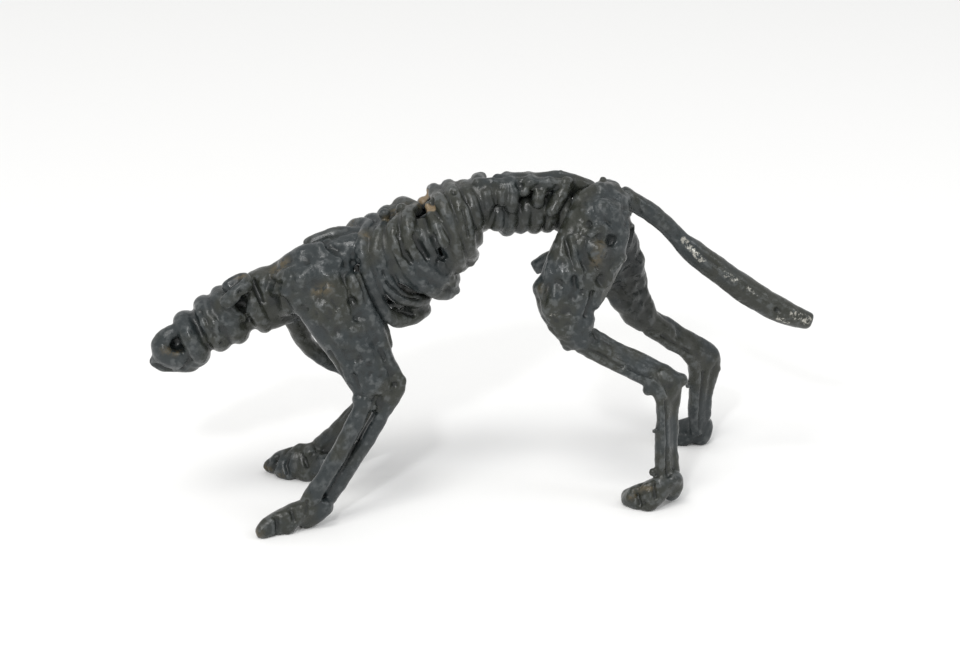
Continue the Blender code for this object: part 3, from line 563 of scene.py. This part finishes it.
def add_bands(work, bands):
    """Adds fat bands round the skull."""
    start, end = (seen(*place) for place in HEAD_LINE)
    axis = (end - start).normalized()
    side = Vector((0, 1, 0))
    up = axis.cross(side).normalized()
    for across, down, outer, thick in bands:
        centre = seen(across, down, 0)
        reach = (outer - thick) * MM
        turns = [math.tau * step / BAND_STEPS for step in range(BAND_STEPS + 1)]
        ring = [centre + (up * math.cos(turn) + side * math.sin(turn)) * reach for turn in turns]
        add_rod(work, ring, thick * MM)


def melt(name, looks, cad_nodes):
    """One closed skin round CAD nodes, fills and knobs, softened where they meet."""
    work = bmesh.new()
    for node in looks.nodes:
        if node != REMADE:
            add_node(work, cad_nodes[node], growth(node))
    for radius, places in looks.fills:
        add_rod(work, [seen(*place) for place in places], radius * MM)
    add_bands(work, looks.bands)
    for radius, places in looks.webs:
        add_rod(work, [mirrored(seen(*place)) for place in places], radius * MM)
    for *place, radius in looks.knobs:
        add_ball(work, seen(*place), radius * MM)
    mesh = bpy.data.meshes.new(name)
    work.to_mesh(mesh)
    work.free()
    obj = link(name, mesh)
    remesh = obj.modifiers.new("melt", "REMESH")
    remesh.mode = "VOXEL"
    remesh.voxel_size = VOXEL
    soften = obj.modifiers.new("soften", "SMOOTH")
    soften.factor = SOFTEN_FACTOR
    soften.iterations = SOFTEN_ROUNDS
    melted = evaluated(obj)
    obj.modifiers.clear()
    obj.data = melted
    bpy.data.meshes.remove(mesh)
    return obj


class Skin:
    """A melted piece's surface, as arrays that are shaped before they go back to the mesh."""

    def __init__(self, obj):
        self.mesh = obj.data
        count = len(self.mesh.vertices)
        self.places = np.empty(count * 3, np.float32)
        self.mesh.vertices.foreach_get("co", self.places)
        self.places = self.places.reshape(-1, 3).astype(float)
        edges = np.empty(len(self.mesh.edges) * 2, np.int32)
        self.mesh.edges.foreach_get("vertices", edges)
        self.edges = edges.reshape(-1, 2)
        self.find_normals()
        self.tree = BVHTree.FromPolygons(
            [tuple(place) for place in self.places],
            [tuple(face.vertices) for face in self.mesh.polygons],
        )

    def find_normals(self):
        """Gives the mesh the places and reads its normals."""
        self.mesh.vertices.foreach_set("co", self.places.astype(np.float32).ravel())
        self.mesh.update()
        normals = np.empty(len(self.places) * 3, np.float32)
        self.mesh.vertex_normals.foreach_get("vector", normals)
        self.normals = normals.reshape(-1, 3).astype(float)

    def lift(self, heights):
        """Moves each point out along its normal."""
        self.places += self.normals * heights[:, None]
        self.find_normals()

    def blended(self, values, rounds):
        """Values at the points, each blended with its neighbours' a number of times."""
        first, second = self.edges.T
        count = len(self.places)
        crowd = np.bincount(first, minlength=count) + np.bincount(second, minlength=count)
        for _ in range(rounds):
            total = np.stack([
                np.bincount(first, column[second], count) + np.bincount(second, column[first], count)
                for column in values.T
            ], axis=1)
            values = (values + total / crowd[:, None]) / 2
        return values

    def struck(self, across, down):
        """Where the photograph's line of sight meets the surface, or None."""
        return self.tree.ray_cast(VIEW_EYE, view_ray(across, down).normalized())[0]

    def near_picks(self, width, picks):
        """How close the surface is to a line on the side that shows, or to its mirror image."""
        struck = [point for point in (self.struck(*pick) for pick in picks) if point is not None]
        if not struck:
            return np.zeros(len(self.places))
        near = self.near_line(struck, width * PIXEL)
        if struck[0].y > MIDLINE:
            return near
        hidden = [self.tree.find_nearest(mirrored(point))[0] for point in struck]
        return np.maximum(near, self.near_line(hidden, width * PIXEL))

    def nearest_of(self, lines):
        """How close the surface is to any of some lines, each a width and the places it runs by."""
        share = np.zeros(len(self.places))
        for width, picks in lines:
            share = np.maximum(share, self.near_picks(width, picks))
        return share

    def near_line(self, points, width):
        """How close each point of the surface is to a line: 1 on it, 0 well away from it."""
        line = np.array([tuple(point) for point in points])
        reach = NEAR_REACH * width
        low = self.places > line.min(axis=0) - reach
        high = self.places < line.max(axis=0) + reach
        found = np.flatnonzero(np.all(low & high, axis=1))
        share = np.zeros(len(self.places))
        if len(found) == 0:
            return share
        away = np.full(len(found), np.inf)
        spots = self.places[found]
        if len(line) == 1:
            away = np.linalg.norm(spots - line[0], axis=1)
        for start, end in zip(line, line[1:]):
            along = end - start
            part = np.clip((spots - start) @ along / (along @ along), 0, 1)
            away = np.minimum(away, np.linalg.norm(spots - start - part[:, None] * along, axis=1))
        share[found] = np.exp(-((away / width) ** 2))
        return share

    def mark(self, marks, lines):
        """Presses dents and grooves into the surface, and raises bumps and ridges on it."""
        heights = np.zeros(len(self.places))
        spots = [(width, depth, [(across, down)]) for across, down, width, depth in marks]
        for width, depth, picks in [*spots, *lines]:
            heights += self.near_picks(width, picks) * depth * MM
        self.lift(heights)

    def fill_hollows(self, rounds, share):
        """Lets metal run into hollows and creases, by this share of their depth."""
        calm = self.blended(self.places, rounds)
        moves = calm - self.places
        out = np.sum(moves * self.normals, axis=1)
        self.places += moves * (share * np.clip(out / CREST_HEIGHT, 0, 1))[:, None]
        self.find_normals()

    def fill_seams(self, seams):
        """Lets metal run into the creases along these lines, and here and there into others."""
        share = self.nearest_of(seams)
        blots = np.array([noise.noise(Vector(place) / WEB_SIZE) for place in self.places])
        self.fill_hollows(WEB_ROUNDS, np.clip(WEB_BASE + WEB_SWING * blots, 0, WEB_MOST))
        self.fill_hollows(SEAM_ROUNDS, SEAM_SHARE * share)

    def roughen(self, layers, rough):
        """Adds lumps, which are highest near the rough lines."""
        heights = np.zeros(len(self.places))
        share = np.maximum(CALM_SHARE, self.nearest_of(rough))
        for number, (size, height) in enumerate(layers):
            shift = Vector((LUMP_START, LUMP_SHIFT[0] * number, LUMP_SHIFT[1] * number))
            scale = 1 / (size * MM)
            heights += height * MM * np.array([
                noise.noise(Vector(place) * scale + shift) for place in self.places
            ])
        self.lift(heights * share)

    def store(self, name, values):
        """Keeps a value for each point, for the material to read."""
        layer = self.mesh.attributes.new(name, "FLOAT", "POINT")
        layer.data.foreach_set("value", values.astype(np.float32))

    def keep_crests(self):
        """Keeps how far each point stands out from what is round it, from -1 to 1."""
        calm = self.blended(self.places, CREST_ROUNDS)
        out = np.sum((self.places - calm) * self.normals, axis=1)
        self.store("crest", np.clip(out / CREST_HEIGHT, -1, 1))

    def flatten_soles(self):
        """Keeps the paws' soles flat on the ground."""
        self.places[:, 2] = np.maximum(self.places[:, 2], 0.0)
        self.find_normals()


def finish_skin(obj, looks):
    """Shapes a melted piece's surface and keeps what its paint needs."""
    skin = Skin(obj)
    if looks.seams:
        skin.fill_seams(looks.seams)
    skin.roughen(looks.lumps, looks.rough)
    skin.mark(looks.marks, looks.lines)
    skin.flatten_soles()
    skin.keep_crests()
    # Stains with a painted highlight, copper, painted shade, and chips with a painted glint, each
    # kept for the paint
    for kind in ("umber_and_highlight", "tan", "painted_shade", "chips_and_glint"):
        lines = [(width, picks) for name, width, picks in looks.patches if name == kind]
        skin.store(kind, skin.nearest_of(lines))
    obj.data.shade_smooth()


class Nodes:
    """A material's node tree, with short calls for what the paint needs."""

    def __init__(self, name):
        self.material = bpy.data.materials.new(name)
        self.material.use_nodes = True
        self.tree = self.material.node_tree
        self.shader = self.tree.nodes["Principled BSDF"]
        self.places = self.tree.nodes.new("ShaderNodeTexCoord").outputs["Object"]

    def join(self, source, socket):
        """Links an output to a socket, or sets a plain value on it."""
        if isinstance(source, bpy.types.NodeSocket):
            self.tree.links.new(source, socket)
        else:
            socket.default_value = source

    def noise(self, size, detail=NOISE_DETAIL, rough=NOISE_ROUGHNESS):
        """Cloudy noise from 0 to 1 whose blots are about this many millimetres across."""
        node = self.tree.nodes.new("ShaderNodeTexNoise")
        self.join(self.places, node.inputs["Vector"])
        node.inputs["Scale"].default_value = 1 / (size * MM)
        node.inputs["Detail"].default_value = detail
        node.inputs["Roughness"].default_value = rough
        return node.outputs["Fac"]

    def attribute(self, name):
        """A value kept on the mesh."""
        node = self.tree.nodes.new("ShaderNodeAttribute")
        node.attribute_name = name
        return node.outputs["Fac"]

    def blots(self, size, low, high, detail=NOISE_DETAIL, rough=NOISE_ROUGHNESS):
        """Noise with its blots drawn apart: 0 below the low edge and 1 above the high one."""
        return self.ranged(self.noise(size, detail, rough), low, high)

    def ranged(self, value, low, high, to_low=0.0, to_high=1.0):
        """A value stretched from one range to another, and kept inside it."""
        node = self.tree.nodes.new("ShaderNodeMapRange")
        node.interpolation_type = "SMOOTHSTEP"
        for socket, number in zip(node.inputs, (value, low, high, to_low, to_high)):
            self.join(number, socket)
        return node.outputs["Result"]

    def product(self, first, second):
        """Two values multiplied."""
        node = self.tree.nodes.new("ShaderNodeMath")
        node.operation = "MULTIPLY"
        self.join(first, node.inputs[0])
        self.join(second, node.inputs[1])
        return node.outputs["Value"]

    def mixed(self, share, first, second):
        """One colour turning into another."""
        node = self.tree.nodes.new("ShaderNodeMix")
        node.data_type = "RGBA"
        self.join(share, node.inputs["Factor"])
        self.join(first, node.inputs["A"])
        self.join(second, node.inputs["B"])
        return node.outputs["Result"]

    def bump(self, height, strength, distance, normal=None):
        """Fine relief in the shading."""
        node = self.tree.nodes.new("ShaderNodeBump")
        node.inputs["Strength"].default_value = strength
        node.inputs["Distance"].default_value = distance
        self.join(height, node.inputs["Height"])
        if normal is not None:
            self.join(normal, node.inputs["Normal"])
        return node.outputs["Normal"]


def black_paint():
    """Satin black paint: slate and olive blots, painted shade in hollows and on shaded parts, crests
    painted lighter as worn paint and painted highlight, brown stains with a painted highlight, and
    chips with a painted glint.
    """
    nodes = Nodes("black_paint")
    crest = nodes.attribute("crest")
    colour = nodes.mixed(nodes.blots(*BLOTS), SLATE, OLIVE)
    # Painted shade: the hollows are darkened towards near-black
    colour = nodes.mixed(nodes.ranged(crest, *HOLLOW_SHADE), colour, SHADE_BLACK)
    # Crests painted lighter, partly worn paint and partly painted highlight
    wear_and_highlight = nodes.product(nodes.ranged(crest, *CREST_WEAR_AND_HIGHLIGHT), nodes.blots(*WEAR_AND_HIGHLIGHT_BLOTS))
    colour = nodes.mixed(nodes.product(wear_and_highlight, WEAR_AND_HIGHLIGHT_SHARE), colour, WEAR_AND_HIGHLIGHT)
    # Brown stains, and a painted highlight on the nose
    umber_and_highlight = nodes.product(nodes.attribute("umber_and_highlight"), nodes.blots(*STAIN_AND_HIGHLIGHT_BLOTS))
    colour = nodes.mixed(umber_and_highlight, colour, UMBER_AND_HIGHLIGHT)
    # Painted shade on the parts that lie in shadow
    colour = nodes.mixed(nodes.product(nodes.attribute("painted_shade"), PAINTED_SHADE_SHARE), colour, SHADE_BLACK)
    colour = nodes.mixed(nodes.ranged(nodes.attribute("tan"), *TAN_EDGE), colour, TAN)
    # Bare metal in the chips, and a painted glint on the thigh
    grain = nodes.blots(*CHIPS_AND_GLINT_GRAIN, CHIP_DETAIL, CHIP_ROUGHNESS)
    chips_and_glint = nodes.product(nodes.ranged(nodes.attribute("chips_and_glint"), *CHIPS_AND_GLINT_EDGE), grain)
    colour = nodes.mixed(chips_and_glint, colour, STEEL_AND_GLINT)
    nodes.join(colour, nodes.shader.inputs["Base Color"])
    nodes.join(chips_and_glint, nodes.shader.inputs["Metallic"])
    nodes.shader.inputs["Specular IOR Level"].default_value = SPECULAR
    gloss = nodes.ranged(nodes.noise(GLOSS_SIZE), *GLOSS)
    nodes.join(gloss, nodes.shader.inputs["Roughness"])
    size, strength, depth = PORES
    pores = nodes.bump(nodes.noise(size, PORE_DETAIL, PORE_ROUGHNESS), strength, depth)
    size, strength, depth = WAVES
    waves = nodes.bump(nodes.noise(size, WAVE_DETAIL), strength, depth, pores)
    nodes.join(waves, nodes.shader.inputs["Normal"])
    return nodes.material


def lay_floor():
    """A pale seamless floor."""
    mesh = bpy.data.meshes.new("floor")
    work = bmesh.new()
    bmesh.ops.create_grid(work, x_segments=1, y_segments=1, size=FLOOR_REACH)
    work.to_mesh(mesh)
    work.free()
    floor = link("floor", mesh)
    floor.location = (0, 0, -FLOOR_DROP)
    paper = bpy.data.materials.new("paper")
    paper.use_nodes = True
    sockets = paper.node_tree.nodes["Principled BSDF"].inputs
    sockets["Base Color"].default_value = PAPER
    sockets["Roughness"].default_value = PAPER_ROUGHNESS
    sockets["Specular IOR Level"].default_value = PAPER_SPECULAR
    mesh.materials.append(paper)


def light_room():
    """White light from all round, and soft lights from above and from the left."""
    world = bpy.data.worlds.new("white_room")
    world.use_nodes = True
    sockets = world.node_tree.nodes["Background"].inputs
    sockets["Color"].default_value = WHITE
    sockets["Strength"].default_value = ROOM_STRENGTH
    bpy.context.scene.world = world
    for name, place, size, power, colour in SOFTBOXES:
        light = bpy.data.lights.new(name, "AREA")
        light.shape = "RECTANGLE"
        light.size, light.size_y = size
        light.energy = power
        light.color = colour
        lamp = bpy.data.objects.new(name, light)
        lamp.location = place
        lamp.rotation_euler = (VIEW_TARGET - lamp.location).to_track_quat("-Z", "Y").to_euler()
        bpy.context.scene.collection.objects.link(lamp)


def place_camera():
    """The photograph's camera."""
    camera = bpy.data.cameras.new("photo_view")
    camera.sensor_width = SENSOR_WIDTH_MM
    camera.lens = SENSOR_WIDTH_MM * VIEW_FOCAL / PHOTO_SIZE[0]
    view = bpy.data.objects.new("photo_view", camera)
    place = Matrix((VIEW_RIGHT, VIEW_UP, VIEW_BACK)).transposed().to_4x4()
    place.translation = VIEW_EYE
    view.matrix_world = place
    bpy.context.scene.collection.objects.link(view)
    bpy.context.scene.camera = view
    bpy.context.scene.view_settings.view_transform = "Standard"


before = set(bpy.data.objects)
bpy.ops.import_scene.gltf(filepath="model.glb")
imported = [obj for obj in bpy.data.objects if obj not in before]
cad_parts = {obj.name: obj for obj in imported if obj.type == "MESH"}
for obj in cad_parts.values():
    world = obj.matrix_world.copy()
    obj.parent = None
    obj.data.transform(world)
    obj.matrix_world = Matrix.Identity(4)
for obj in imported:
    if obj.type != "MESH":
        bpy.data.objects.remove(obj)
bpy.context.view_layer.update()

paint = black_paint()
for name, looks in PIECES.items():
    nodes = looks.nodes
    piece = melt(name, looks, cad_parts)
    finish_skin(piece, looks)
    piece.data.materials.clear()
    piece.data.materials.append(paint)
    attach(piece, "root")
    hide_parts(*nodes)
lay_floor()
light_room()
place_camera()
